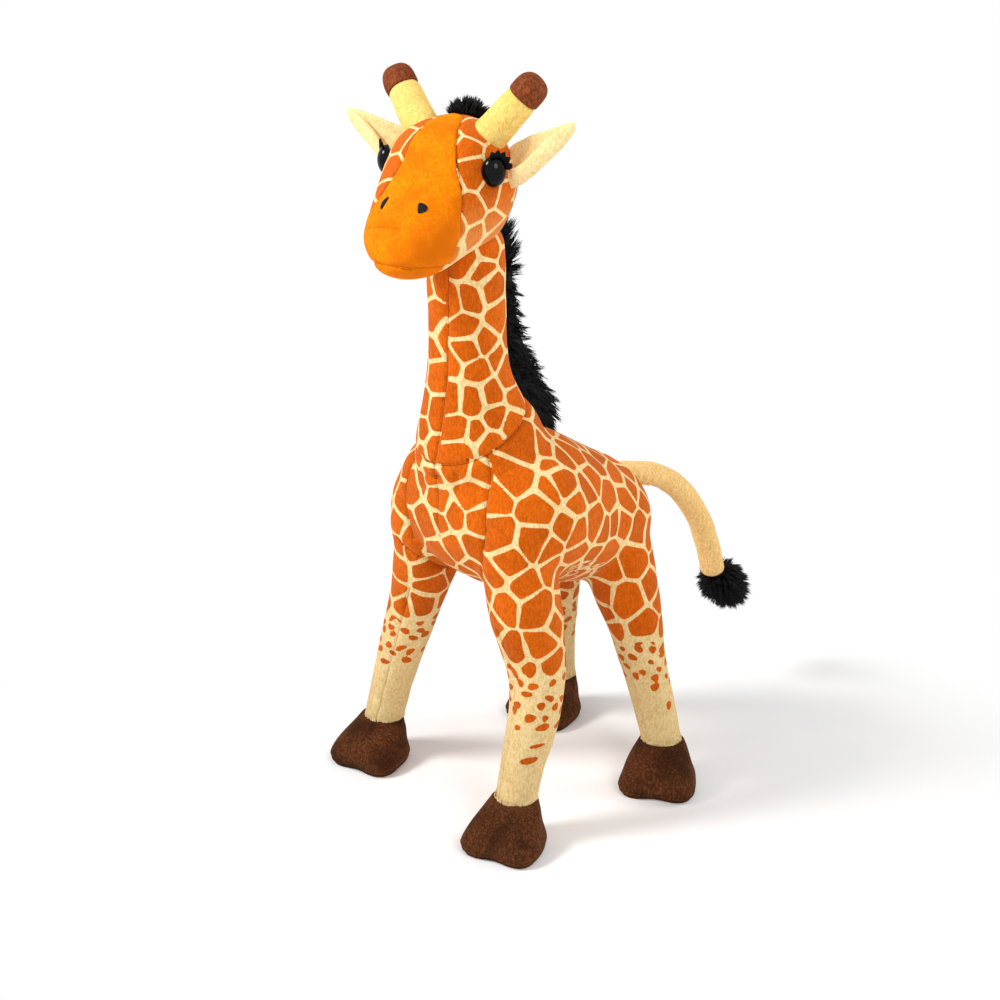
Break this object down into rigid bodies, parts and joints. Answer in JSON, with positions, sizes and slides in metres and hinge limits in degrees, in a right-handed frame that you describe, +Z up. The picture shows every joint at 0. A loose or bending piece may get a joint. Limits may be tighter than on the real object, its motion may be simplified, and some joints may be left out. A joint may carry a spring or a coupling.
{
  "type": "plush giraffe toy",
  "caption": "Standing stuffed giraffe with a long upright neck, blunt horns, folded ears, splayed legs on cloven hooves, a black mane and a tufted tail.",
  "frame": {"origin": "on the floor under the middle of the toy's own box", "axes": "+Z up along the neck and legs, -Y the way the body faces, +X the giraffe's left side"},
  "size_m": [0.1748, 0.2942, 0.3935],
  "materials": {
    "printed_plush": "short pile plush printed with angular orange-brown patches between cream lines",
    "leg_plush": "short pile plush, orange-brown patches that shrink to spots and end above a plain cream lower leg",
    "golden_plush": "short pile plush, golden orange",
    "cream_plush": "short pile plush, cream yellow",
    "cap_plush": "short pile plush, red brown",
    "hoof_plush": "short pile plush, dark chocolate brown",
    "sole_plush": "flat short pile panel, dark chocolate brown",
    "tan_plush": "short pile plush, tan",
    "black_fur": "long pile fur, black",
    "black_felt": "felt, black",
    "eye_plastic": "polished black",
    "washer_plastic": "plain moulded"
  },
  "bodies": {
    "torso": {"torso": "printed_plush"},
    "neck": {"neck": "printed_plush", "mane": "black_fur"},
    "head": {"head": "printed_plush", "face_panel": "golden_plush", "chin": "golden_plush", "eye_left": "eye_plastic", "eye_right": "eye_plastic", "eye_washer_left": "washer_plastic", "eye_washer_right": "washer_plastic", "eyelash_left": "black_felt", "eyelash_right": "black_felt", "horn_left": "cream_plush", "horn_right": "cream_plush", "horn_cap_left": "cap_plush", "horn_cap_right": "cap_plush", "forelock": "black_fur"},
    "ear_left": {"ear_left": "cream_plush"},
    "ear_right": {"ear_right": "cream_plush"},
    "leg_front_left": {"leg_front_left": "leg_plush", "hoof_front_left": "hoof_plush", "sole_front_left": "sole_plush"},
    "leg_front_right": {"leg_front_right": "leg_plush", "hoof_front_right": "hoof_plush", "sole_front_right": "sole_plush"},
    "leg_rear_left": {"leg_rear_left": "leg_plush", "hoof_rear_left": "hoof_plush", "sole_rear_left": "sole_plush"},
    "leg_rear_right": {"leg_rear_right": "leg_plush", "hoof_rear_right": "hoof_plush", "sole_rear_right": "sole_plush"},
    "tail": {"tail": "tan_plush", "tail_tuft": "black_fur"}
  },
  "joints": [
    {"name": "neck_bow", "type": "hinge", "parent": "torso", "child": "neck", "pos_m": [0.00443, -0.06912, 0.199], "axis": [1, 0, 0], "range_deg": [0, 15], "stiffness_Nm_per_rad": 1.5},
    {"name": "head_turn", "type": "hinge", "parent": "neck", "child": "head", "pos_m": [0.00443, -0.07902, 0.312], "axis": [0, 0, 1], "range_deg": [-25, 25], "stiffness_Nm_per_rad": 0.3},
    {"name": "ear_left_fold", "type": "hinge", "parent": "head", "child": "ear_left", "pos_m": [0.03305, -0.07601, 0.3515], "axis": [0, 0, 1], "range_deg": [-20, 20], "stiffness_Nm_per_rad": 0.02},
    {"name": "ear_right_fold", "type": "hinge", "parent": "head", "child": "ear_right", "pos_m": [-0.02226, -0.0898, 0.3515], "axis": [0, 0, 1], "range_deg": [-20, 20], "stiffness_Nm_per_rad": 0.02},
    {"name": "leg_front_left_swing", "type": "hinge", "parent": "torso", "child": "leg_front_left", "pos_m": [0.03893, -0.07512, 0.142], "axis": [1, 0, 0], "range_deg": [-10, 10], "stiffness_Nm_per_rad": 2},
    {"name": "leg_front_right_swing", "type": "hinge", "parent": "torso", "child": "leg_front_right", "pos_m": [-0.03007, -0.07512, 0.142], "axis": [1, 0, 0], "range_deg": [-10, 10], "stiffness_Nm_per_rad": 2},
    {"name": "leg_rear_left_swing", "type": "hinge", "parent": "torso", "child": "leg_rear_left", "pos_m": [0.02943, 0.00588, 0.136], "axis": [1, 0, 0], "range_deg": [-10, 10], "stiffness_Nm_per_rad": 2},
    {"name": "leg_rear_right_swing", "type": "hinge", "parent": "torso", "child": "leg_rear_right", "pos_m": [-0.02057, 0.00588, 0.136], "axis": [1, 0, 0], "range_deg": [-10, 10], "stiffness_Nm_per_rad": 2},
    {"name": "tail_swing", "type": "hinge", "parent": "torso", "child": "tail", "pos_m": [0.00443, 0.03088, 0.164], "axis": [0, 0, 1], "range_deg": [-25, 25], "stiffness_Nm_per_rad": 0.05}
  ]
}
